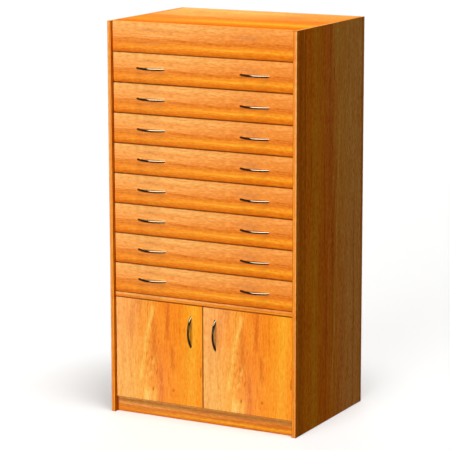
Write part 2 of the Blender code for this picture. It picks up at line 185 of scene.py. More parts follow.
DOOR_STREAK_SHARES = (
    ("smoke", 0.30, 0.22, -0.15, 0.06, 0.05, 0.34, 0.10),
    ("smoke", 0.40, 0.27, 0.00, 0.05, -0.05, 0.09, 0.05),
    ("clay", 0.25, 0.17, 0.02, 0.03, 0.12, 0.42, 0.10),
    ("rust", 0.65, 0.425, 0.03, 0.060, 0.16, 0.60, 0.10),
    ("butter", 0.85, 0.43, -0.28, 0.028, 0.06, 0.36, 0.05),
    ("butter", 0.95, 0.345, -0.14, 0.030, 0.34, 0.80, 0.06),
    ("butter", 0.95, 0.35, 0.00, 0.060, 0.87, 1.10, 0.05),
    ("light", 0.45, 0.36, 0.00, 0.060, 0.91, 1.10, 0.05),
    ("butter", 0.60, 0.44, 0.00, 0.050, 0.88, 1.10, 0.05),
    ("butter", 0.55, 0.45, -0.35, 0.026, 0.55, 0.76, 0.05),
    ("ember", 0.22, 0.74, 0.00, 0.09, -0.10, 0.48, 0.12),
    ("amber", 0.50, 0.545, 0.01, 0.030, 0.08, 0.42, 0.08),
    ("rust", 0.75, 0.605, 0.01, 0.034, -0.10, 0.36, 0.05),
    ("rust", 0.70, 0.655, 0.01, 0.032, 0.42, 0.66, 0.07),
    ("rust", 0.45, 0.600, 0.06, 0.014, 0.67, 0.78, 0.04),
    ("rust", 0.50, 0.505, 0.00, 0.012, 0.63, 0.76, 0.03),
    ("clay", 0.55, 0.522, 0.005, 0.026, 0.62, 1.10, 0.06),
    ("yellow", 0.55, 0.905, -0.04, 0.045, -0.10, 0.28, 0.06),
    ("yellow", 0.60, 0.872, 0.02, 0.030, 0.38, 0.62, 0.08),
    ("yellow", 0.50, 0.895, 0.00, 0.018, 0.60, 1.10, 0.08),
    ("brown", 0.55, 0.386, -0.10, 0.009, -0.05, 0.075, 0.02),
    ("brown", 0.45, 0.368, 0.00, 0.009, 0.09, 0.165, 0.02),
    ("brown", 0.25, 0.592, 0.00, 0.012, 0.10, 0.28, 0.06),
    ("brown", 0.25, 0.652, 0.00, 0.012, 0.44, 0.60, 0.05),
    ("brown", 0.50, 0.380, 0.00, 0.014, 0.40, 0.425, 0.012),
    ("brown", 0.35, 0.418, 0.00, 0.020, 0.55, 0.585, 0.02),
    ("brown", 0.65, 0.478, -0.22, 0.010, 0.67, 0.73, 0.02),
    ("brown", 0.95, 0.413, 0.00, 0.015, 0.862, 0.892, 0.012),
    ("brown", 0.75, 0.656, 0.00, 0.013, 0.852, 0.878, 0.012),
    ("brown", 0.35, 0.810, 0.00, 0.007, 0.49, 0.56, 0.02),
    ("brown", 0.70, 0.978, 0.00, 0.011, 0.60, 0.70, 0.03),
    # Only the side panels reach past the doors' width
    ("umber", 0.55, 1.220, 0.02, 0.110, -0.10, 1.10, 0.05),
    ("brown", 0.45, 1.130, 0.01, 0.022, 0.30, 1.10, 0.15),
    ("brown", 0.40, -0.120, 0.02, 0.030, -0.10, 0.55, 0.15),
    ("umber", 0.60, -0.310, 0.00, 0.035, -0.10, 1.10, 0.05),
)
# The plinth's print adds a painted shadow: a broad darker band over its upper part, where the doors'
# overhang shades it.
PLINTH_STREAK_AND_SHADOW_SHARES = (*FRONT_STREAK_SHARES, ("dusk", 0.90, 0.18, 0.00, 0.29, -0.20, 1.20, 0.05))

# How noise moves a print across the grain: (fineness along and across, roughness, share moved)
SWAY = (3.0, 4.0, 0.55, 0.07)
FRINGE = (9.0, 60.0, 0.60, 0.04)

# Flames of darker wood on the door print, in shares of a board's length and width
FLAME_MIDDLE_SHARE, FLAME_HALF_WIDTH_SHARE, FLAME_ARCH_SHARE = 0.425, 0.07, -0.13
FLAME_RISE_SHARES, FLAME_FALL_SHARES = (0.28, 0.42), (0.84, 0.66)
FLAME_TURNS, FLAME_WOBBLE = 48.0, 15.0  # radians over a board's length, and over the noise
FLAME_FINENESS = (7.0, 16.0)  # of the noise, along and across
FLAME_RING_LIMITS, FLAME_SIDE_LIMITS = (-0.1, 0.95), (1.5, 0.8)  # of the sine, and in half widths
FLAME_STRENGTH = 0.38

# Layers of the wood fibre: (length and width of its marks in metres, detail, seed, weight)
FIBRE_LAYERS = {
    "lines": (0.08, 0.0055, 3, 2.0, 0.32),
    "bands": (0.30, 0.022, 3, 3.0, 0.20),
    "hairs": (0.03, 0.0011, 2, 7.0, 0.10),
    "mottle": (0.022, 0.007, 2, 9.0, 0.38),
    "pores": (0.012, 0.0008, 1, 4.0, 0.0),
}
DRIFT_LENGTH, DRIFT_WIDTH, DRIFT = 0.16, 0.07, 0.03  # how the fibre wanders across the grain
TINT_SWING = 0.12  # a figure this far from its middle takes the full dark or pale tint
PORE_LIMITS, PORE_STRENGTH = (0.64, 0.74), 0.5  # of the pores' layer
DARK_FIBRE, PALE_FIBRE, PORE = (0.88, 0.64, 0.38, 1), (1.11, 1.36, 1.60, 1), (0.66, 0.40, 0.22, 1)

# The side panels show the door print turned end for end: where it starts, as a share of their depth,
# and how much of the depth it covers
SIDE_PRINT_START_SHARE, SIDE_PRINT_WIDTH_SHARE = 0.793, 0.593

# How the fibre moves a laminate's roughness down and up, and how high it stands
GLOSS_DROP, GLOSS_RISE = 0.04, 0.06
GLOSS_LIMITS, FIBRE_HEIGHT, FIBRE_BUMP = (0.2, 0.8), 0.00005, 0.1
UNDER_PRINT = (0.8, 0.33, 0.08)  # a laminate's colour before its print

# Where a speckled finish turns from dark to full colour and from smooth to rough, and how rough
SPECKLE_LIMITS, SPECKLE_GLOSS_LIMITS, SPECKLE_ROUGHER = (0.35, 0.65), (0.3, 0.7), 1.25

# Sides of the small round things
CUP_SIDES, ROLLER_SIDES, AXLE_SIDES, NAIL_SIDES = 48, 32, 20, 12


# Settings that a user would change


def size_of(name, description, default):
    """A length that a user can change."""
    return FloatProperty(name=name, description=description, default=default, unit="LENGTH")


def colour_of(name, description, default):
    """A colour that a user can change."""
    return FloatVectorProperty(name=name, description=description, default=default, subtype="COLOR")


def level_of(name, description, default):
    """A level of light that a user can change."""
    return FloatProperty(name=name, description=description, default=default, min=0.0)


class BoardSettings(bpy.types.PropertyGroup):
    """Sizes of the board edges and of what holds the boards."""

    edge_round: size_of("Edge rounding", "Radius of a banded board edge", 0.0012)
    wall_round: size_of("Drawer wall rounding", "Radius of a drawer wall's edge", 0.0008)
    wall: size_of("Drawer wall", "Thickness of a drawer's walls", 0.016)
    sheet: size_of("Hardboard", "Thickness of the drawer bottoms", 0.004)
    bottom_lift: size_of("Bottom lift", "From a drawer wall's lower edge to its bottom", 0.010)
    nail_spacing: size_of("Nail spacing", "Distance between the back's nails", 0.11)
    nail_radius: size_of("Nail radius", "Radius of a nail's head", 0.0022)


class HandleSettings(bpy.types.PropertyGroup):
    """Sizes of the bow handles."""

    hole_spacing: size_of("Hole spacing", "Distance between the two fixing screws", 0.128)
    thickness: size_of("Thickness", "Thickness of the bow at its middle", 0.006)
    steps: IntProperty(name="Steps", description="Steps along a bow", default=44, min=8)
    sides: IntProperty(name="Sides", description="Sides of a bow's section", default=20, min=8)


class RunnerSettings(bpy.types.PropertyGroup):
    """Sizes of the drawer runners."""

    metal: size_of("Sheet metal", "Thickness of channels and rails", 0.0012)
    strap: size_of("Strap width", "Width of an upright strap", 0.025)
    strap_inset: size_of("Strap inset", "From a channel's end to the strap", 0.070)
    channel: size_of("Channel height", "Height of a channel", 0.035)
    channel_lift: size_of("Channel lift", "From a drawer box's lower edge to its channel", 0.004)
    channel_reach: size_of("Channel reach", "How far a channel stands off its strap", 0.0095)
    rail: size_of("Rail height", "Height of a drawer's rail", 0.016)
    rail_reach: size_of("Rail reach", "How far a rail stands off its drawer", 0.0096)
    roller: size_of("Roller radius", "Radius of a roller", 0.0075)
    roller_width: size_of("Roller width", "Width of a roller", 0.0061)
    roller_inset: size_of("Roller inset", "From a rail's or channel's end to its roller", 0.010)


class HingeSettings(bpy.types.PropertyGroup):
    """Sizes of the concealed hinges."""

    cup: size_of("Cup radius", "Outer radius of a cup", 0.0172)
    cup_depth: size_of("Cup depth", "Depth of a cup", 0.0127)
    cup_wall: size_of("Cup wall", "Thickness of a cup's wall", 0.0005)
    flange: size_of("Flange", "Thickness of a cup's flange", 0.0008)
    flange_length: size_of("Flange length", "Length of a cup's flange", 0.056)
    flange_width: size_of("Flange width", "Width of a flange's ears", 0.012)


class FinishSettings(bpy.types.PropertyGroup):
    """Colours and gloss that a user would change."""

    board_gloss: FloatProperty(
        name="Laminate roughness", description="Roughness of the laminate", default=0.42, subtype="FACTOR"
    )
    # The handles' near-black colour is painted reflection: it stands for the dark surroundings that their
    # polished chrome reflects.
    chrome: colour_of("Chrome", "Colour of the bow handles", (0.020, 0.016, 0.011))
    steel: colour_of("Plated steel", "Colour of the hinges", (0.62, 0.62, 0.63))
    runner: colour_of("Runner paint", "Colour of the runners", (0.75, 0.74, 0.70))
    nylon: colour_of("Nylon", "Colour of the rollers", (0.72, 0.72, 0.68))
    hardboard: colour_of("Hardboard", "Colour of the back and the drawer bottoms", (0.40, 0.22, 0.10))


class StudioSettings(bpy.types.PropertyGroup):
    """Levels of the studio light, in which 1 shows a colour as it is written."""

    high: level_of("High light", "Soft light from above", 0.92)
    front: level_of("Front light", "Soft light from the front", 1.32)
    right: level_of("Right light", "Soft light from the right", 0.07)
    back: level_of("Back light", "Soft light from behind", 0.70)
    strip: level_of("Strip light", "Light that shows only as a streak in the bow handles", 100.0)
    sky: level_of("Ambient", "Even light from all round", 0.02)
    floor: colour_of("Floor", "Colour of the floor as it is seen", (0.845, 0.84, 0.83))


def settings(kind):
    return getattr(bpy.context.scene, "cabinet_" + kind)


# Mesh making


def facing(point, way):
    """A matrix that puts a shape drawn round +Z at a point, turned to face a way."""
    return Matrix.Translation(point) @ Vector(way).to_track_quat("Z", "Y").to_matrix().to_4x4()


def add_block(bm, first, second, ease, steps=1):
    """A box with rounded edges between two opposite corners. Returns its faces."""
    old = set(bm.faces)
    low, high = [Vector([pick(pair) for pair in zip(first, second)]) for pick in (min, max)]
    place = Matrix.Translation((low + high) / 2) @ Matrix.Diagonal((*(high - low), 1))
    verts = bmesh.ops.create_cube(bm, size=1, matrix=place)["verts"]
    edges = list(dict.fromkeys(edge for vert in verts for edge in vert.link_edges))
    bmesh.ops.bevel(bm, geom=edges, offset=ease, segments=steps, profile=0.5, affect="EDGES")
    return [face for face in bm.faces if face not in old]


def add_board(bm, low, high, grain, raw="", ease=None, flip="", joint=False):
    """A laminated board with its print laid on every face, u along the grain and v across.

    The map named print holds shares of the face, and the one named grain holds metres. Flat
    faces take the first finish, banded edges the second, and the edges named in raw the third. Where
    asked, the rounded edges take the fourth: the banding's dark seam, painted near black so that it
    also stands for the shade in the gaps between boards.
    """
    low, high = Vector(low), Vector(high)
    size = high - low
    thin = min(range(3), key=lambda axis: size[axis])
    shares, metres = bm.loops.layers.uv["print"], bm.loops.layers.uv["grain"]
    if ease is None:
        ease = settings("boards").edge_round
    for face in add_block(bm, low, high, ease, 2):
        face.normal_update()
        axis = max(range(3), key=lambda i: abs(face.normal[i]))
        flat = abs(face.normal[axis]) > 0.999
        face.smooth = not flat
        edge = ("-" if face.normal[axis] < 0 else "+") + "xyz"[axis]
        face.material_index = 1
        if flat and axis == thin:
            face.material_index = 0
        elif edge in raw:
            face.material_index = 2
        elif joint and not flat:
            face.material_index = 3
        others = [i for i in range(3) if i != axis]
        along = grain if grain in others else max(others, key=lambda i: size[i])
        across = others[1] if along == others[0] else others[0]
        for loop in face.loops:
            measure = loop.vert.co - low
            measure.z = size.z - measure.z
            for i in range(3):
                if "xyz"[i] in flip:
                    measure[i] = size[i] - measure[i]
            loop[metres].uv = (measure[along], measure[across])
            loop[shares].uv = (measure[along] / size[along], measure[across] / size[across])


def new_boards():
    bm = bmesh.new()
    bm.loops.layers.uv.new("print")
    bm.loops.layers.uv.new("grain")
    return bm


def add_skin(bm, rings):
    """Four-sided faces between each closed ring of vertices and the next, and a face on each end."""
    for first, second in zip(rings, rings[1:]):
        for i in range(len(first)):
            bm.faces.new((first[i - 1], first[i], second[i], second[i - 1]))
    bm.faces.new(rings[0])
    bm.faces.new(rings[-1])


def add_prism(bm, outline, start, end, axis):
    """A flat outline drawn out along an axis. Its numbers are the other two axes, in order."""
    rings = []
    for level in (start, end):
        rings.append([bm.verts.new([*point[:axis], level, *point[axis:]]) for point in outline])
    add_skin(bm, rings)


def add_turned(bm, profile, place, sides, finish=0):
    """Turn a closed profile of (radius, height) about +Z, then put it in place."""
    rings = []
    for radius, height in profile:
        if radius:
            turns = [math.tau * i / sides for i in range(sides)]
            points = [Vector((radius * math.cos(t), radius * math.sin(t), height)) for t in turns]
            rings.append([bm.verts.new(place @ point) for point in points])
        else:
            rings.append([bm.verts.new(place @ Vector((0, 0, height)))] * sides)
    for first, second in zip(rings, rings[1:]):
        for i in range(sides):
            around = dict.fromkeys((first[i - 1], first[i], second[i], second[i - 1]))
            if len(around) > 2:
                face = bm.faces.new(around)
                face.material_index = finish
                face.smooth = True


def add_screw(bm, point, way, use):
    """A domed screw head with a cross recess, standing on a face."""
    place, radius = facing(point, way), HEAD_RADII[use]
    arm, slot = RECESS_ARM_SHARE * radius, RECESS_SLOT_SHARE * radius
    height, depth = HEAD_HEIGHT_SHARE * radius, RECESS_DEPTH_SHARE * radius
    cross = []
    for quarter in range(4):
        turn = Matrix.Rotation(quarter * math.pi / 2, 3, "Z")
        cross += [turn @ Vector(p) for p in ((slot, slot, 0), (arm, slot, 0), (arm, -slot, 0))]
    cross.reverse()
    rims = []
    for reach, rise in DOME_SHARES:
        rims.append(([p.normalized() * radius * reach for p in cross], rise * height))
    rings = []
    for rim, level in (*rims, (cross, height), (cross, height - depth)):
        rings.append([bm.verts.new(place @ (p + Vector((0, 0, level)))) for p in rim])
    add_skin(bm, rings)


def new_mesh(name, bm, finishes, round_at=0):
    """Turn a bmesh into a mesh with its finishes, smooth where it bends less than an angle."""
    bmesh.ops.recalc_face_normals(bm, faces=bm.faces)
    mesh = bpy.data.meshes.new(name)
    bm.to_mesh(mesh)
    bm.free()
    for finish in finishes:
        mesh.materials.append(bpy.data.materials[finish])
    if round_at:
        mesh.shade_smooth()
        mesh.set_sharp_from_angle(angle=math.radians(round_at))
    return mesh


def place_piece(name, mesh, body="root", stands_for=(), place=(0, 0, 0), turn=0, group=None):
    """Put a mesh in place as a piece that rides on a body."""
    piece = bpy.data.objects.new(name, mesh)
    (group or bpy.context.scene.collection).objects.link(piece)
    piece.location = place
    piece.rotation_euler = (0, turn, 0)
    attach(piece, body)
    if stands_for:
        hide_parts(*stands_for)
    return piece


def make_piece(name, bm, look, body="root", stands_for=(), round_at=0):
    """Turn a bmesh into a piece that stands where it was drawn. A look is (finishes, slot), and its slot
    is not used.
    """
    finishes, slot = look
    return place_piece(name, new_mesh(name, bm, finishes, round_at), body, stands_for)


def back_middle(node):
    """The middle of a node's box, on its back face."""
    low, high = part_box(node)
    return Vector(((low.x + high.x) / 2, high.y, (low.z + high.z) / 2))


# Finishes


def display(tone):
    """A print tone in 8 bit display values, as the linear numbers that shaders take."""
    linear = []
    for value in tone:
        share = value / 255
        plain = share / 12.92 if share <= 0.04045 else ((share + 0.055) / 1.055) ** 2.4
        linear.append(min(1, PRINT_LEVEL * plain))
    return (*linear, 1)


def feed(tree, socket, value):
    """Link a node's output into a socket, or set the socket to a plain value."""
    if isinstance(value, bpy.types.NodeSocket):
        tree.links.new(value, socket)
    elif value is not None:
        socket.default_value = value


def put(tree, kind, *feeds, output=0, **properties):
    """Add a node with its properties set and its inputs fed in order. None leaves an input alone."""
    made = tree.nodes.new(kind)
    for key, value in properties.items():
        setattr(made, key, value)
    for socket, value in zip(made.inputs, feeds):
        feed(tree, socket, value)
    return made.outputs[output]


def calc(operation, *feeds):
    """A sum over values, in the node tree that one of them comes from."""
    tree = next(value.id_data for value in feeds if isinstance(value, bpy.types.NodeSocket))
    return put(tree, "ShaderNodeMath", *feeds, operation=operation)


def plus(first, second):
    return calc("ADD", first, second)


def minus(first, second):
    return calc("SUBTRACT", first, second)


def times(first, second, more=0.0):
    return calc("MULTIPLY_ADD", first, second, more)


def over(first, second):
    return calc("DIVIDE", first, second)


def mixed(share, first, second, how="MIX"):
    """Two colours mixed by a share."""
    tree = next(value.id_data for value in (share, first) if isinstance(value, bpy.types.NodeSocket))
    made = tree.nodes.new("ShaderNodeMix")
    made.data_type = "RGBA"
    made.blend_type = how
    for i, value in ((0, share), (6, first), (7, second)):
        feed(tree, made.inputs[i], value)
    return made.outputs[2]


def spread(value, low, high, to_low=0.0, to_high=1.0, smooth=True):
    """A value's place between two limits, eased at both ends."""
    how = "SMOOTHSTEP" if smooth else "LINEAR"
    limits = (low, high, to_low, to_high)
    return put(value.id_data, "ShaderNodeMapRange", value, *limits, interpolation_type=how)


def noise(along, across, detail, roughness, seed):
    """Even noise on a flat map whose two numbers set how fine it is along and across the grain."""
    tree = along.id_data
    flat = put(tree, "ShaderNodeCombineXYZ", along, across, seed)
    return put(tree, "ShaderNodeTexNoise", flat, None, 1.0, detail, roughness, noise_dimensions="3D")


def stirred(value, wave, amount):
    """A value moved to and fro by noise, which swings about a half."""
    return times(minus(wave, 0.5), amount, value)


def new_group(name, inputs, outputs):
    """An empty shader node group with float inputs and named outputs of a given kind."""
    group = bpy.data.node_groups.new(name, "ShaderNodeTree")
    for title, value in inputs:
        socket = group.interface.new_socket(name=title, in_out="INPUT", socket_type="NodeSocketFloat")
        socket.default_value = value
    for title, kind in outputs:
        group.interface.new_socket(name=title, in_out="OUTPUT", socket_type="NodeSocket" + kind)
    start, end = group.nodes.new("NodeGroupInput"), group.nodes.new("NodeGroupOutput")
    return group, start.outputs, end.inputs


def use_group(tree, name, *feeds):
    """Place a node group and feed its inputs in order. Returns its outputs."""
    made = tree.nodes.new("ShaderNodeGroup")
    made.node_tree = bpy.data.node_groups[name]
    for socket, value in zip(made.inputs, feeds):
        feed(tree, socket, value)
    return made.outputs


def make_streak_group():
    """One soft streak: full on its line, gone at its reach, fading in and out at its ends."""
    names = ("Along", "Across", "Place", "Lean", "Reach", "Start", "End", "Fade")
    group, given, out = new_group("print_streak", [(name, 0.0) for name in names], [("Mask", "Float")])
    along, across, place, lean, reach, start, end, fade = [given[name] for name in names]
    line = times(minus(along, start), lean, place)
    body = spread(calc("ABSOLUTE", minus(across, line)), reach, 0.0)
    rise = spread(along, minus(start, fade), plus(start, fade))
    fall = spread(along, plus(end, fade), minus(end, fade))
    group.links.new(times(times(body, rise), fall), out["Mask"])


def tone_ramp(value, stops):
    tree = value.id_data
    made = tree.nodes.new("ShaderNodeValToRGB")
    tree.links.new(value, made.inputs[0])
    elements = made.color_ramp.elements
    while len(elements) < len(stops):
        elements.new(0.5)
    for element, (place, colour) in zip(elements, stops):
        element.position = place
        element.color = display(colour)
    return made.outputs[0]


def add_flames(along, across, seed, colour):
    """Nested arches of darker wood over part of a print, as a flat-sawn board shows."""
    off = over(minus(across, FLAME_MIDDLE_SHARE), FLAME_HALF_WIDTH_SHARE)
    rise = times(times(off, off), FLAME_ARCH_SHARE, along)
    fine_along, fine_across = FLAME_FINENESS
    wobble = noise(times(along, fine_along), times(across, fine_across), 3, 0.6, seed)
    turns = times(wobble, FLAME_WOBBLE, times(rise, FLAME_TURNS))
    rings = spread(calc("SINE", turns), *FLAME_RING_LIMITS)
    width = spread(calc("ABSOLUTE", off), *FLAME_SIDE_LIMITS)
    length = times(spread(along, *FLAME_RISE_SHARES), spread(along, *FLAME_FALL_SHARES))
    mask = times(times(rings, width), length)
    return mixed(times(mask, FLAME_STRENGTH), colour, display(TONES["rust"]))


def make_print_group(name, start_tones, end_tones, streaks, seed, flames=False):
    """A whole board's print over shares of its length and width: tones, streaks and fine figure."""
    group, given, out = new_group(name, (("Along", 0.5), ("Across", 0.5)), [("Colour", "Color")])
    along, across = given["Along"], given["Across"]
    swayed = across
    for (fine_along, fine_across, roughness, amount), shift in ((SWAY, 0), (FRINGE, 5)):
        wave = noise(times(along, fine_along), times(across, fine_across), 3, roughness, seed + shift)
        swayed = stirred(swayed, wave, amount)
    first, last = tone_ramp(swayed, start_tones), tone_ramp(swayed, end_tones)
    colour = mixed(spread(along, *TONE_TURN_SHARES), first, last)
    for tone, strength, *line in streaks:
        mask = use_group(group, "print_streak", along, swayed, *line)[0]
        colour = mixed(times(mask, strength), colour, display(TONES[tone]))
    if flames:
        colour = add_flames(along, across, seed, colour)
    group.links.new(colour, out["Colour"])


def make_fibre_group():
    """The print's bands, lines and pores over metres along and across the grain."""
    inputs = (("Along", 0.0), ("Across", 0.0), ("Strength", 1.0))
    outputs = (("Tint", "Color"), ("Height", "Float"))
    group, given, out = new_group("wood_fibre", inputs, outputs)
    along, across = given["Along"], given["Across"]
    drift = noise(over(along, DRIFT_LENGTH), over(across, DRIFT_WIDTH), 2, 0.5, 12.0)
    across = stirred(across, drift, DRIFT)
    layers, figure = {}, 0.0
    for name, (length, width, detail, seed, weight) in FIBRE_LAYERS.items():
        layers[name] = noise(over(along, length), over(across, width), detail, 0.55, seed)
        if weight:
            figure = times(layers[name], weight, figure)
    pores = spread(layers["pores"], *PORE_LIMITS)
    swing = times(minus(figure, 0.5), given["Strength"])
    tint = mixed(spread(swing, -TINT_SWING, TINT_SWING, smooth=False), DARK_FIBRE, PALE_FIBRE)
    group.links.new(mixed(times(pores, PORE_STRENGTH), tint, PORE), out["Tint"])
    group.links.new(minus(layers["hairs"], pores), out["Height"])


def make_speckle_group():
    """Blotches and specks at a given size in metres, for chips, paint, nylon and plating."""
    outputs = (("Blotch", "Float"), ("Speck", "Float"))
    group, given, out = new_group("fine_speckle", (("Size", 0.002),), outputs)
    where = put(group, "ShaderNodeTexCoord", output=3)
    fineness = over(1.0, given["Size"])
    scaled = put(group, "ShaderNodeVectorMath", where, None, None, fineness, operation="SCALE")
    group.links.new(put(group, "ShaderNodeTexNoise", scaled, None, 1.0, 3.0, 0.6), out["Blotch"])
    group.links.new(put(group, "ShaderNodeTexVoronoi", scaled, None, 1.0), out["Speck"])


def new_material(name, colour, roughness, metallic=0.0, specular=0.5):
    """A material with its constant looks on the shader's own sockets."""
    material = bpy.data.materials.new(name)
    material.use_nodes = True
    shader = material.node_tree.nodes["Principled BSDF"]
    shader.inputs["Base Color"].default_value = (*colour, 1)
    shader.inputs["Roughness"].default_value = roughness
    shader.inputs["Metallic"].default_value = metallic
    shader.inputs["Specular IOR Level"].default_value = specular
    return material.node_tree, shader.inputs


def add_bump(tree, inputs, height, distance, strength=0.4):
    bump = put(tree, "ShaderNodeBump", strength, distance)
    tree.links.new(height, bump.node.inputs["Height"])
    tree.links.new(bump, inputs["Normal"])


def map_of(tree, name):
    """The two numbers of a named map."""
    parts = put(tree, "ShaderNodeSeparateXYZ", put(tree, "ShaderNodeUVMap", uv_map=name))
    return parts.node.outputs[0], parts.node.outputs[1]


def make_laminate(name, print_name, fibre=1.0, level=None, along_map=(1, 0), across_map=(1, 0)):
    """A printed laminate. The two pairs scale and shift the print over the board's shares."""
    gloss = settings("finishes").board_gloss
    tree, inputs = new_material(name, UNDER_PRINT, gloss, specular=0.0)
    along, across = map_of(tree, "print")
    colour = use_group(tree, print_name, times(along, *along_map), times(across, *across_map))[0]
    tint, height = use_group(tree, "wood_fibre", *map_of(tree, "grain"), fibre)
    colour = mixed(1.0, colour, tint, "MULTIPLY")
    # A level multiplies the print's colour; on the side panels it is painted shade.
    if level:
        colour = mixed(1.0, colour, (*level, 1), "MULTIPLY")
    tree.links.new(colour, inputs["Base Color"])
    rough = spread(height, *GLOSS_LIMITS, gloss - GLOSS_DROP, gloss + GLOSS_RISE, smooth=False)
    tree.links.new(rough, inputs["Roughness"])
    add_bump(tree, inputs, height, FIBRE_HEIGHT, FIBRE_BUMP)


def make_speckled(name, colour, roughness, size, swing, metallic=0.0, bump=0.00002, specular=0.5):
    """A plain finish whose colour and gloss vary a little over blotches of a given size."""
    tree, inputs = new_material(name, colour, roughness, metallic, specular)
    blotch = use_group(tree, "fine_speckle", size)[0]
    dark = [value * (1 - swing) for value in colour]
    shown = mixed(spread(blotch, *SPECKLE_LIMITS), (*dark, 1), (*colour, 1))
    rough = spread(blotch, *SPECKLE_GLOSS_LIMITS, roughness, roughness * SPECKLE_ROUGHER, smooth=False)
    tree.links.new(shown, inputs["Base Color"])
    tree.links.new(rough, inputs["Roughness"])
    add_bump(tree, inputs, blotch, bump)
    return tree, inputs


def make_chipboard():
    """Raw chipboard: pale and brown chips pressed together."""
    looks = {"specular": 0.2, "bump": 0.0003}
    tree, inputs = make_speckled("raw_chipboard", (0.52, 0.33, 0.17), 0.85, 0.0016, 0.5, **looks)
    chips = use_group(tree, "fine_speckle", 0.003)[1]
    base = inputs["Base Color"].links[0].from_socket
    chipped = mixed(spread(chips, 0.3, 0.7, 0.0, 0.55), base, (0.20, 0.10, 0.045, 1))
    tree.links.new(chipped, inputs["Base Color"])


class CABINET_OT_finishes(bpy.types.Operator):
    """Make the laminate prints and the plain finishes"""

    bl_idname = "cabinet.finishes"
    bl_label = "Finishes"

    def execute(self, context):
        finish = settings("finishes")
        make_streak_group()
        make_print_group("front_print", FRONT_START, FRONT_END, FRONT_STREAK_SHARES, seed=1.0)
        make_print_group("door_print", DOOR_START, DOOR_END, DOOR_STREAK_SHARES, seed=20.0, flames=True)
        # The plinth's print carries a painted shadow from the doors over its upper part.
        make_print_group("plinth_print_and_shadow", FRONT_START, FRONT_END, PLINTH_STREAK_AND_SHADOW_SHARES, seed=3.0)
        make_fibre_group()
        make_speckle_group()
        make_laminate("plinth_laminate", "plinth_print_and_shadow", fibre=0.85)
        make_laminate("front_laminate", "front_print", fibre=0.85)
        make_laminate("door_laminate", "door_print", fibre=0.85, level=(1.03, 1.03, 1.10))
        across_map = (-1 / SIDE_PRINT_WIDTH_SHARE, SIDE_PRINT_START_SHARE / SIDE_PRINT_WIDTH_SHARE)
        maps = {"along_map": (-1, 1), "across_map": across_map}
        # The side panels show the door print dimmed by a level, as painted shade on both their faces: the
        # same laminate as the doors, darkened as if less light fell on it.
        make_laminate("side_laminate_painted_shade", "door_print", fibre=1.5, level=(0.65, 0.56, 0.41), **maps)
        make_laminate("edge_banding", "front_print", fibre=0.7)
        make_chipboard()
        for name, colour, roughness, size, swing, more in (
            # The seam's near-black colour is partly painted shade: besides the banding's seam it darkens
            # the rounded edges to stand for the shade in the gaps between fronts, doors and panels.
            ("joint_and_gap_shade", (0.02, 0.006, 0.002), 0.6, 0.004, 0.4, {"specular": 0.0}),
            ("hardboard_sheet", finish.hardboard, 0.75, 0.004, 0.25, {"specular": 0.08, "bump": 0.0001}),
            # The chrome's near-black colour is a painted dark reflection.
            ("bow_chrome_dark_reflection", finish.chrome, 0.08, 0.02, 0.04, {"metallic": 1.0}),
            ("zinc_plated_steel", finish.steel, 0.30, 0.006, 0.12, {"metallic": 1.0}),
            ("runner_enamel", finish.runner, 0.42, 0.0012, 0.05, {}),
            ("roller_nylon", finish.nylon, 0.5, 0.003, 0.06, {}),
            ("nail_steel", (0.16, 0.15, 0.14), 0.4, 0.002, 0.2, {"metallic": 1.0}),
        ):
            make_speckled(name, tuple(colour), roughness, size, swing, **more)
        return {"FINISHED"}


# Looks of the fittings: (finishes, slot)
STEEL_LOOK = (("zinc_plated_steel",), "steel")
ENAMEL_LOOK = (("runner_enamel",), "runner_paint")
ROLLER_LOOK = (("roller_nylon", "zinc_plated_steel"), "runner_paint")


def board_finishes(face="front_laminate", joint=False):
    """The finishes that add_board numbers, in order."""
    return (face, "edge_banding", "raw_chipboard", "joint_and_gap_shade")[: 4 if joint else 3]


def make_board(name, node, grain, face="front_laminate", body="root", joint=False, **edges):
    """A laminated board in the place of a node."""
    bm = new_boards()
    add_board(bm, *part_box(node), grain, joint=joint, **edges)
    return make_piece(name, bm, (board_finishes(face, joint), "laminate"), body, [node])


# Carcass


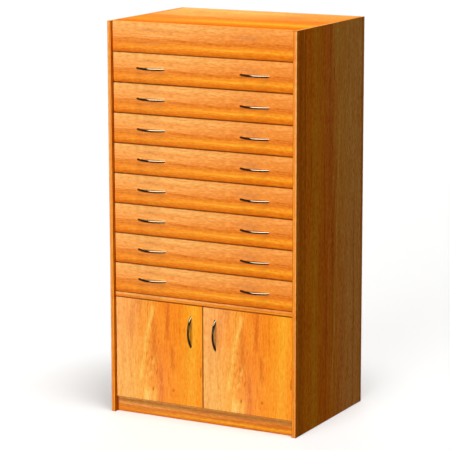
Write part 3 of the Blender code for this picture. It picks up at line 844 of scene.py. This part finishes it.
class CABINET_OT_carcass(bpy.types.Operator):
    """Build the side panels, the fixed boards and the nailed back"""

    bl_idname = "cabinet.carcass"
    bl_label = "Carcass"

    def execute(self, context):
        for side, sign in SIDES:
            node, flip = "side_panel_" + side, "x" if sign > 0 else ""
            make_board("panel_" + side, node, Z, "side_laminate_painted_shade", raw="+y-z", flip=flip, joint=True)
        for node, raw in (
            ("top_board", "-y+y-x+x"),
            ("fascia_panel", "-x+x"),
            ("divider_board", "+y-x+x"),
            ("bottom_board", "+y-x+x"),
            ("plinth_board", "-x+x-z"),
            ("inner_shelf", "+y-x+x"),
        ):
            flip = "y" if node == "top_board" else ""
            ease = SHEET_EASE if node in ("top_board", "fascia_panel") else None
            face = "plinth_laminate" if node == "plinth_board" else "front_laminate"
            make_board(node + "_laminated", node, X, face, raw=raw, flip=flip, ease=ease)
        self.make_back()
        return {"FINISHED"}

    def make_back(self):
        """The hardboard back, with its nails sunk level along its edges and across the divider."""
        low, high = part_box("back_panel")
        boards = settings("boards")
        bm = bmesh.new()
        add_block(bm, low, high, PLATE_EASE)
        make_piece("back_sheet", bm, (("hardboard_sheet",), "hardboard"), stands_for=["back_panel"])
        inset = boards.wall / 2
        divider = back_middle("divider_board").z
        columns = round((high.x - low.x) / boards.nail_spacing)
        rows = round((high.z - low.z) / boards.nail_spacing)
        places = []
        for i in range(1, columns):
            x = low.x + i * (high.x - low.x) / columns
            places += [(x, high.z - inset), (x, divider)]
        for i in range(1, rows):
            z = low.z + i * (high.z - low.z) / rows
            places += [(low.x + inset, z), (high.x - inset, z)]
        radius = boards.nail_radius
        head = [(0, -radius / 4), (radius, -radius / 4), (radius, -radius / 8), (0.7 * radius, 0), (0, 0)]
        bm = bmesh.new()
        for x, z in places:
            add_turned(bm, head, facing((x, high.y, z), (0, 1, 0)), NAIL_SIDES)
        make_piece("back_nails", bm, (("nail_steel",), "steel"))


# Drawers


def box_corners():
    """The outer corners of the first drawer's box, without its rails."""
    rails = Vector((settings("runners").rail_reach + RAIL_SPARE, 0, 0))
    return BOX_LOW + rails, BOX_HIGH - rails


class CABINET_OT_drawers(bpy.types.Operator):
    """Build the drawer fronts and the drawer boxes"""

    bl_idname = "cabinet.drawers"
    bl_label = "Drawers"

    def execute(self, context):
        front, walls, bottom = self.front_mesh(), self.wall_mesh(), self.bottom_mesh()
        screws = self.screw_mesh()
        for number in DRAWERS:
            body = f"drawer_{number}"
            place = (0, 0, -(number - 1) * PITCH)
            place_piece(f"front_{number}", front, body, [f"drawer_front_{number}"], place)
            place_piece(f"walls_{number}", walls, body, [f"drawer_box_{number}"], place)
            place_piece(f"bottom_{number}", bottom, body, place=place)
            place_piece(f"front_screws_{number}", screws, body, place=place)
        return {"FINISHED"}

    def front_mesh(self):
        bm = new_boards()
        add_board(bm, FRONT_LOW, FRONT_HIGH, X, joint=True)
        return new_mesh("drawer_front", bm, board_finishes(joint=True))

    def wall_mesh(self):
        boards = settings("boards")
        low, high = box_corners()
        wall, ease = boards.wall, boards.wall_round
        bm = new_boards()
        for start, end in ((low.x, low.x + wall), (high.x - wall, high.x)):
            add_board(bm, (start, low.y, low.z), (end, high.y, high.z), Y, ease=ease)
        for start, end in ((low.y, low.y + wall), (high.y - wall, high.y)):
            add_board(bm, (low.x + wall, start, low.z), (high.x - wall, end, high.z), X, ease=ease)
        return new_mesh("drawer_walls", bm, board_finishes())

    def bottom_mesh(self):
        boards = settings("boards")
        low, high = box_corners()
        inset = Vector((boards.wall, boards.wall, 0))
        low, high = low + inset + Vector((0, 0, boards.bottom_lift)), high - inset
        high.z = low.z + boards.sheet
        bm = bmesh.new()
        add_block(bm, low, high, SHEET_EASE)
        return new_mesh("drawer_bottom", bm, ("hardboard_sheet",))

    def screw_mesh(self):
        """Screws that hold the front, seen inside the drawer."""
        low, high = box_corners()
        face = low.y + settings("boards").wall
        bm = bmesh.new()
        for share in FRONT_SCREW_SHARES:
            x = low.x + share * (high.x - low.x)
            add_screw(bm, (x, face, (low.z + high.z) / 2 + FRONT_SCREW_LIFT), (0, 1, 0), "front")
        return new_mesh("front_screws", bm, ("zinc_plated_steel",))


# Handles

BOW_GROUPS = ("drawer_bows", "door_bows")
SQUARENESS = 0.85  # 1 keeps a bow's section round, and less squares it


class CABINET_OT_handles(bpy.types.Operator):
    """Build the chrome bow handles"""

    bl_idname = "cabinet.handles"
    bl_label = "Bow handles"

    def execute(self, context):
        mesh = self.bow_mesh()
        drawer_bows, door_bows = [bpy.data.collections.new(name) for name in BOW_GROUPS]
        context.scene.collection.children.link(drawer_bows)
        context.scene.collection.children.link(door_bows)
        for side, _ in SIDES:
            for number in DRAWERS:
                node, body = f"handle_{number}_{side}", f"drawer_{number}"
                place = back_middle(node)
                place_piece(f"bow_{number}_{side}", mesh, body, [node], place, 0, drawer_bows)
            node, body = f"door_handle_{side}", f"door_{side}_leaf"
            place, turn = back_middle(node), math.pi / 2
            place_piece(f"door_bow_{side}", mesh, body, [node], place, turn, door_bows)
        return {"FINISHED"}

    def bow_mesh(self):
        """A strip between two arcs, fat at its feet, with a rounded section. It stands out along -Y."""
        bow = settings("handles")
        length, reach, width = BOW_HIGH - BOW_LOW
        bm = bmesh.new()
        rings = []
        for step in range(bow.steps + 1):
            share = 2 * step / bow.steps - 1
            outer = arc_point(length / 2, reach, share)
            inner = arc_point(bow.hole_spacing - length / 2, reach - bow.thickness, share)
            middle, arm = (outer + inner) / 2, (outer - inner) / 2
            ring = []
            for side in range(bow.sides):
                turn = math.tau * (side + 0.5) / bow.sides
                flat = middle + arm * rounded(math.cos(turn))
                ring.append(bm.verts.new((flat.x, -flat.y, rounded(math.sin(turn)) * width / 2)))
            rings.append(ring)
        add_skin(bm, rings)
        return new_mesh("bow_handle", bm, ("bow_chrome_dark_reflection",), round_at=50)


def rounded(value):
    """Pull a circle's coordinate out a little towards a rounded square."""
    return math.copysign(abs(value) ** SQUARENESS, value)


def arc_point(half_chord, rise, share):
    """A point on a circular arc over a chord: its place along the chord and its height above it."""
    turn = 2 * math.atan2(rise, half_chord)
    radius = half_chord / math.sin(turn)
    return Vector((radius * math.sin(share * turn), radius * (math.cos(share * turn) - math.cos(turn))))


# Runners

ROLLER_LIP = 0.0008  # bevel of a roller's edge, groove and axle


class CABINET_OT_runners(bpy.types.Operator):
    """Build the roller runners: channels and straps on the side panels, rails on the drawers"""

    bl_idname = "cabinet.runners"
    bl_label = "Runners"

    def execute(self, context):
        for side, sign in SIDES:
            self.make_rack(side, sign)
        for number in DRAWERS:
            self.make_rails(number)
        return {"FINISHED"}

    def heights(self, number):
        """The lower edge of a drawer's channel, and the axles of its rollers."""
        runner = settings("runners")
        low = BOX_LOW.z - (number - 1) * PITCH + runner.channel_lift
        return low, low + runner.metal + ROLLER_PLAY + runner.roller

    def make_rack(self, side, sign):
        runner = settings("runners")
        metal, node = runner.metal, "runner_rack_" + side
        inward = (-sign, 0, 0)
        face = sign * abs(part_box(node)[0 if sign < 0 else 1].x)
        strap = face - sign * metal
        web, tip = strap - sign * metal, strap - sign * runner.channel_reach
        front, back = RACK_LOW.y, RACK_HIGH.y
        bm, rollers, screws = bmesh.new(), bmesh.new(), bmesh.new()
        starts = (front + runner.strap_inset, back - runner.strap_inset - runner.strap)
        for number in DRAWERS:
            low, axle = self.heights(number)
            high = low + runner.channel
            middle = (low + high) / 2
            channel = [
                (strap, low), (tip, low), (tip, low + metal), (web, low + metal),
                (web, high - metal), (tip, high - metal), (tip, high), (strap, high),
            ]
            add_prism(bm, channel, front, back, Y)
            self.add_roller(rollers, Vector((web, front + runner.roller_inset, axle)), -sign)
            for start in starts:
                add_screw(screws, (web, start + runner.strap / 2, middle), inward, "strap")
            for share in CHANNEL_SCREW_SHARES:
                place = (web, front + share * (back - front), middle + CHANNEL_SCREW_LIFT)
                add_screw(screws, place, inward, "channel")
        for start in starts:
            end = start + runner.strap
            add_block(bm, (face, start, RACK_LOW.z), (strap, end, RACK_HIGH.z), SHEET_EASE)
        make_piece("rack_" + side, bm, ENAMEL_LOOK, stands_for=[node])
        make_piece("rack_rollers_" + side, rollers, ROLLER_LOOK, round_at=40)
        make_piece("rack_screws_" + side, screws, STEEL_LOOK)

    def add_roller(self, bm, place, sign):
        """A nylon roller with a shallow groove, on a riveted steel axle."""
        runner = settings("runners")
        radius, width, lip = runner.roller, runner.roller_width, ROLLER_LIP
        profile = [
            (0, 0), (radius - lip, 0), (radius, lip), (radius, width / 2 - lip),
            (radius - lip / 2, width / 2), (radius, width / 2 + lip), (radius, width - lip),
            (radius - lip, width), (0, width),
        ]
        way = Vector((sign, 0, 0))
        add_turned(bm, profile, facing(place, way), ROLLER_SIDES)
        head = radius / 3
        cap = [(0, 0), (head, 0), (head, lip / 2), (head / 2, lip), (0, lip)]
        add_turned(bm, cap, facing(place + width * way, way), AXLE_SIDES, finish=1)

    def make_rails(self, number):
        runner = settings("runners")
        metal = runner.metal
        axle = self.heights(number)[1]
        top = axle + runner.roller + ROLLER_PLAY + metal
        low = top - runner.rail
        front, back = BOX_LOW.y, RACK_HIGH.y
        rails, rollers, screws = bmesh.new(), bmesh.new(), bmesh.new()
        for _, sign in SIDES:
            face = sign * box_corners()[1].x
            web, tip = face + sign * metal, face + sign * runner.rail_reach
            rail = [
                (face, low), (web, low), (web, top - metal), (tip, top - metal), (tip, top), (face, top),
            ]
            add_prism(rails, rail, front + RAIL_SETBACK, back, Y)
            self.add_roller(rollers, Vector((web, back - runner.roller_inset, axle)), sign)
            for share in RAIL_SCREW_SHARES:
                place = (web, front + share * (back - front), top - runner.rail / 2)
                add_screw(screws, place, (sign, 0, 0), "rail")
        body = f"drawer_{number}"
        make_piece(f"rails_{number}", rails, ENAMEL_LOOK, body)
        make_piece(f"rail_rollers_{number}", rollers, ROLLER_LOOK, body, round_at=40)
        make_piece(f"rail_screws_{number}", screws, STEEL_LOOK, body)


# Doors and hinges


class CABINET_OT_doors(bpy.types.Operator):
    """Build the two doors"""

    bl_idname = "cabinet.doors"
    bl_label = "Doors"

    def execute(self, context):
        for side, _ in SIDES:
            body = f"door_{side}_leaf"
            leaf = make_board("leaf_" + side, "door_" + side, Z, "door_laminate", body, joint=True)
            self.bore(leaf, side)
        return {"FINISHED"}

    def bore(self, piece, side):
        """Cut the round pockets for the hinge cups."""
        hinge = settings("hinges")
        radius, depth = hinge.cup + BORE_GAP, 2 * hinge.cup_depth + BORE_GAP
        bm = bmesh.new()
        for level in LEVELS:
            middle = back_middle(f"hinge_cup_{side}_{level}") + Vector((0, hinge.cup_depth, 0))
            profile = [(0, 0), (radius, 0), (radius, depth), (0, depth)]
            add_turned(bm, profile, facing(middle, (0, -1, 0)), CUP_SIDES)
        cutter = bpy.data.objects.new("cup_pockets", new_mesh("cup_pockets", bm, ("raw_chipboard",)))
        bpy.context.scene.collection.objects.link(cutter)
        cut = piece.modifiers.new("cup pockets", "BOOLEAN")
        cut.operation = "DIFFERENCE"
        cut.object = cutter
        bpy.context.view_layer.update()
        graph = bpy.context.evaluated_depsgraph_get()
        bored = bpy.data.meshes.new_from_object(piece.evaluated_get(graph), depsgraph=graph)
        piece.modifiers.clear()
        piece.data = bored
        bpy.data.objects.remove(cutter, do_unlink=True)


# Rounding of a hinge cup: its foot outside and inside, and its rim
CUP_FOOT, CUP_FOOT_INSIDE, CUP_RIM = 0.002, 0.0022, 0.0001
FOOT_CORNER_SHARE = 0.3
EAR_SHIFT = 0.0045  # a cup's ears stand this far towards the middle of the door
EAR_STEPS = 12

# The wings of a hinge's plate, measured from the side panel and from the arm's middle
SEAT_GAP, WING_THICKNESS = 0.0003, 0.0016
WING_START_SHARE, WING_WIDTH = 0.45, 0.016
WING_NEAR, WING_FAR, WING_SCREW = 0.0083, 0.022, 0.016
ARM_FLOOR = 0.0023  # from the side panel to the face that the arm's screws stand on


class CABINET_OT_hinges(bpy.types.Operator):
    """Build the concealed hinges: cups with flanges, links and arms"""

    bl_idname = "cabinet.hinges"
    bl_label = "Hinges"

    def execute(self, context):
        for side, sign in SIDES:
            for level in LEVELS:
                where = f"{side}_{level}"
                self.make_cup(where, f"door_{side}_leaf", sign)
                self.make_link(where, f"hinge_links_{side}")
                self.make_arm(where, sign)
        return {"FINISHED"}

    def make_cup(self, where, body, sign):
        hinge = settings("hinges")
        node = "hinge_cup_" + where
        middle = back_middle(node)
        radius, depth, wall = hinge.cup, hinge.cup_depth, hinge.cup_wall
        corner = FOOT_CORNER_SHARE * CUP_FOOT
        profile = [
            (0, -depth), (radius - CUP_FOOT, -depth), (radius - corner, corner - depth),
            (radius, CUP_FOOT - depth), (radius, -CUP_RIM), (radius - CUP_RIM, 0), (radius - wall, 0),
            (radius - wall, CUP_FOOT_INSIDE - depth), (radius - CUP_FOOT - wall, wall - depth),
            (0, wall - depth),
        ]
        bm = bmesh.new()
        add_turned(bm, profile, facing(middle, (0, 1, 0)), CUP_SIDES)
        self.add_ears(bm, middle, middle.x - sign * EAR_SHIFT)
        make_piece("cup_" + where, bm, STEEL_LOOK, body, [node], round_at=40)

    def add_ears(self, bm, middle, across):
        """Two ears above and below the cup, each with its screw."""
        hinge = settings("hinges")
        half, ear = hinge.flange_length / 2, hinge.flange_width / 2
        near = math.sqrt(hinge.cup**2 - ear**2)
        face = middle.y + hinge.flange
        for way in (-1, 1):
            outline = []
            for i in range(EAR_STEPS + 1):
                turn = math.pi * i / EAR_STEPS
                outline.append((ear * math.cos(turn), half - ear + ear * math.sin(turn)))
            outline += [(-ear, near), (0, hinge.cup), (ear, near)]
            outline = [(across + x, middle.z + way * z) for x, z in outline]
            add_prism(bm, outline, middle.y, face, Y)
            add_screw(bm, (across, face, middle.z + way * (half - ear)), (0, 1, 0), "cup")

    def frame_copy(self, node):
        """The frame's own shape, with its doubled vertices merged."""
        bm = bmesh.new()
        bm.from_mesh(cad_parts[node].data)
        bmesh.ops.remove_doubles(bm, verts=bm.verts, dist=MERGE)
        return bm

    def make_link(self, where, body):
        """The gooseneck link, on the same line as the frame's."""
        node = "hinge_link_" + where
        bm = self.frame_copy(node)
        bmesh.ops.dissolve_limit(bm, angle_limit=math.radians(1), verts=bm.verts, edges=bm.edges)
        make_piece("link_" + where, bm, STEEL_LOOK, body, [node], round_at=40)

    def make_arm(self, where, sign):
        """The frame's arm with its screws, on a plate with two wings."""
        node = "hinge_arm_" + where
        low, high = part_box(node)
        middle = (low.z + high.z) / 2
        inward = (-sign, 0, 0)
        make_piece("arm_" + where, self.frame_copy(node), STEEL_LOOK, "root", [node], round_at=35)
        bm = bmesh.new()
        base = sign * (INSIDE - SEAT_GAP)
        face = base - sign * WING_THICKNESS
        start = low.y + WING_START_SHARE * (high.y - low.y)
        end = start + WING_WIDTH
        for way in (-1, 1):
            near, far = middle + way * WING_NEAR, middle + way * WING_FAR
            add_block(bm, (base, start, near), (face, end, far), PLATE_EASE)
            add_screw(bm, (face, (start + end) / 2, middle + way * WING_SCREW), inward, "wing")
        for share in ARM_SCREW_SHARES:
            place = (sign * (INSIDE - ARM_FLOOR), low.y + share * (high.y - low.y), middle)
            add_screw(bm, place, inward, "arm")
        make_piece("arm_plate_" + where, bm, STEEL_LOOK)


# Studio

FLOOR_HALF = 60
UNSEEN_FLOOR = (0.07, 0.065, 0.06, 1)  # the floor's colour in the light that it sends back

# Where the lamps stand: height, turn to the right of the front, and softness, in degrees
LAMP_PLACES = {"high": (78, 42, 28), "front": (2, 0, 44), "right": (67, 80, 30), "back": (6, 205, 60)}
LAMP_DISTANCE = 5

# The strip lights: height in degrees and depth in metres, for each group of bows
STRIP_PLACES = ((48, 10), (52, 2))
STRIP_TURN, STRIP_LENGTH, STRIP_DISTANCE = 22, 22.0, 11
STRIP_COLOUR = (1.0, 1.0, 0.95)

# The camera, fitted to the photograph's straight edges
CAMERA_PLACE = (4.6389, -8.7645, 2.8310)
CAMERA_PITCH, CAMERA_YAW, CAMERA_ROLL = 11.231, 28.193, 0.132  # in degrees
CAMERA_LENS, CAMERA_SENSOR = 176.18, 36  # in millimetres


def direction(height, turn):
    """The way to a point at a height and a turn to the right of the front, in degrees."""
    height, turn = math.radians(height), math.radians(turn)
    away = math.cos(height)
    return Vector((away * math.sin(turn), -away * math.cos(turn), math.sin(height)))


class CABINET_OT_studio(bpy.types.Operator):
    """Set the pale floor, the soft lamps and the camera"""

    bl_idname = "cabinet.studio"
    bl_label = "Studio"

    def execute(self, context):
        studio = settings("studio")
        self.make_floor(studio.floor)
        self.make_sky(context.scene, studio.sky)
        for name, place in LAMP_PLACES.items():
            self.make_lamp(name + "_lamp", getattr(studio, name), *place)
        for name, place in zip(BOW_GROUPS, STRIP_PLACES):
            self.make_strip_light(name, studio.strip, *place)
        self.make_camera(context.scene)
        context.scene.view_settings.view_transform = "Standard"
        return {"FINISHED"}

    def make_floor(self, colour):
        bm = bmesh.new()
        bmesh.ops.create_grid(bm, x_segments=4, y_segments=4, size=FLOOR_HALF)
        mesh = bpy.data.meshes.new("studio_floor")
        bm.to_mesh(mesh)
        bm.free()
        floor = self.add_object("studio_floor", mesh)
        material = bpy.data.materials.new("studio_floor")
        material.use_nodes = True
        tree = material.node_tree
        tree.nodes.remove(tree.nodes["Principled BSDF"])
        seen = put(tree, "ShaderNodeBsdfDiffuse", (*colour, 1))
        unseen = put(tree, "ShaderNodeBsdfDiffuse", UNSEEN_FLOOR)
        both = put(tree, "ShaderNodeMixShader", self.seen_rays(tree), unseen, seen)
        tree.links.new(both, tree.nodes["Material Output"].inputs["Surface"])
        mesh.materials.append(material)

    def add_object(self, name, data):
        made = bpy.data.objects.new(name, data)
        bpy.context.scene.collection.objects.link(made)
        return made

    def seen_rays(self, tree):
        """One for rays that show the background: the camera's, reflected and transmitted ones."""
        rays = tree.nodes.new("ShaderNodeLightPath").outputs
        either = calc("MAXIMUM", rays["Is Camera Ray"], rays["Is Glossy Ray"])
        return calc("MAXIMUM", either, rays["Is Transmission Ray"])

    def make_sky(self, scene, level):
        world = bpy.data.worlds.new("studio_sky")
        world.use_nodes = True
        scene.world = world
        tree = world.node_tree
        sky = tree.nodes["Background"]
        sky.inputs["Color"].default_value = (1, 1, 1, 1)
        strength = spread(self.seen_rays(tree), 0.0, 1.0, level, 1.0, smooth=False)
        tree.links.new(strength, sky.inputs["Strength"])

    def add_light(self, name, kind, height, turn, distance):
        """A light that faces the cabinet from a direction."""
        holder = self.add_object(name, bpy.data.lights.new(name, kind))
        source = direction(height, turn)
        holder.location = source * distance
        holder.rotation_euler = source.to_track_quat("Z", "Y").to_euler()
        return holder

    def make_lamp(self, name, level, height, turn, softness):
        """A distant soft lamp."""
        lamp = self.add_light(name, "SUN", height, turn, LAMP_DISTANCE).data
        lamp.energy = level * math.pi
        lamp.angle = math.radians(softness)

    def make_strip_light(self, receivers, level, height, depth):
        """A long light over the front that shows only as a streak in a group of polished bows."""
        holder = self.add_light(receivers + "_light", "AREA", height, STRIP_TURN, STRIP_DISTANCE)
        lamp = holder.data
        lamp.shape = "RECTANGLE"
        lamp.size, lamp.size_y = STRIP_LENGTH, depth
        lamp.energy = level * math.pi * lamp.size * lamp.size_y
        lamp.color = STRIP_COLOUR
        holder.visible_diffuse = False
        holder.light_linking.receiver_collection = bpy.data.collections[receivers]

    def make_camera(self, scene):
        camera = bpy.data.cameras.new("camera")
        camera.lens = CAMERA_LENS
        camera.sensor_width = CAMERA_SENSOR
        holder = self.add_object("camera", camera)
        forward = -direction(CAMERA_PITCH, CAMERA_YAW)
        holder.location = CAMERA_PLACE
        holder.rotation_mode = "QUATERNION"
        roll = Quaternion(forward, math.radians(CAMERA_ROLL))
        holder.rotation_quaternion = roll @ forward.to_track_quat("-Z", "Y")
        scene.camera = holder


class CABINET_PT_panel(bpy.types.Panel):
    """Lists the steps that build the cabinet"""

    bl_idname = "CABINET_PT_panel"
    bl_label = "Paper drawer cabinet"
    bl_space_type = "VIEW_3D"
    bl_region_type = "UI"
    bl_category = "Cabinet"

    def draw(self, context):
        for operator in OPERATORS:
            self.layout.operator(operator.bl_idname)
        for kind in GROUPS:
            group = settings(kind)
            box = self.layout.box()
            box.label(text=kind.capitalize())
            for key in group.bl_rna.properties.keys():
                if key not in ("rna_type", "name"):
                    box.prop(group, key)


GROUPS = {
    "boards": BoardSettings,
    "handles": HandleSettings,
    "runners": RunnerSettings,
    "hinges": HingeSettings,
    "finishes": FinishSettings,
    "studio": StudioSettings,
}
OPERATORS = (
    CABINET_OT_finishes,
    CABINET_OT_carcass,
    CABINET_OT_drawers,
    CABINET_OT_handles,
    CABINET_OT_runners,
    CABINET_OT_doors,
    CABINET_OT_hinges,
    CABINET_OT_studio,
)


def register():
    for kind, group in GROUPS.items():
        bpy.utils.register_class(group)
        setattr(bpy.types.Scene, "cabinet_" + kind, PointerProperty(type=group))
    for item in (*OPERATORS, CABINET_PT_panel):
        bpy.utils.register_class(item)


def unregister():
    for item in reversed((*OPERATORS, CABINET_PT_panel)):
        bpy.utils.unregister_class(item)
    for kind, group in GROUPS.items():
        delattr(bpy.types.Scene, "cabinet_" + kind)
        bpy.utils.unregister_class(group)


def main():
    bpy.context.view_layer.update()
    register()
    for operator in OPERATORS:
        family, step = operator.bl_idname.split(".")
        if getattr(getattr(bpy.ops, family), step)() != {"FINISHED"}:
            raise RuntimeError(operator.bl_label + " didn't finish")


if __name__ == "__main__":
    main()
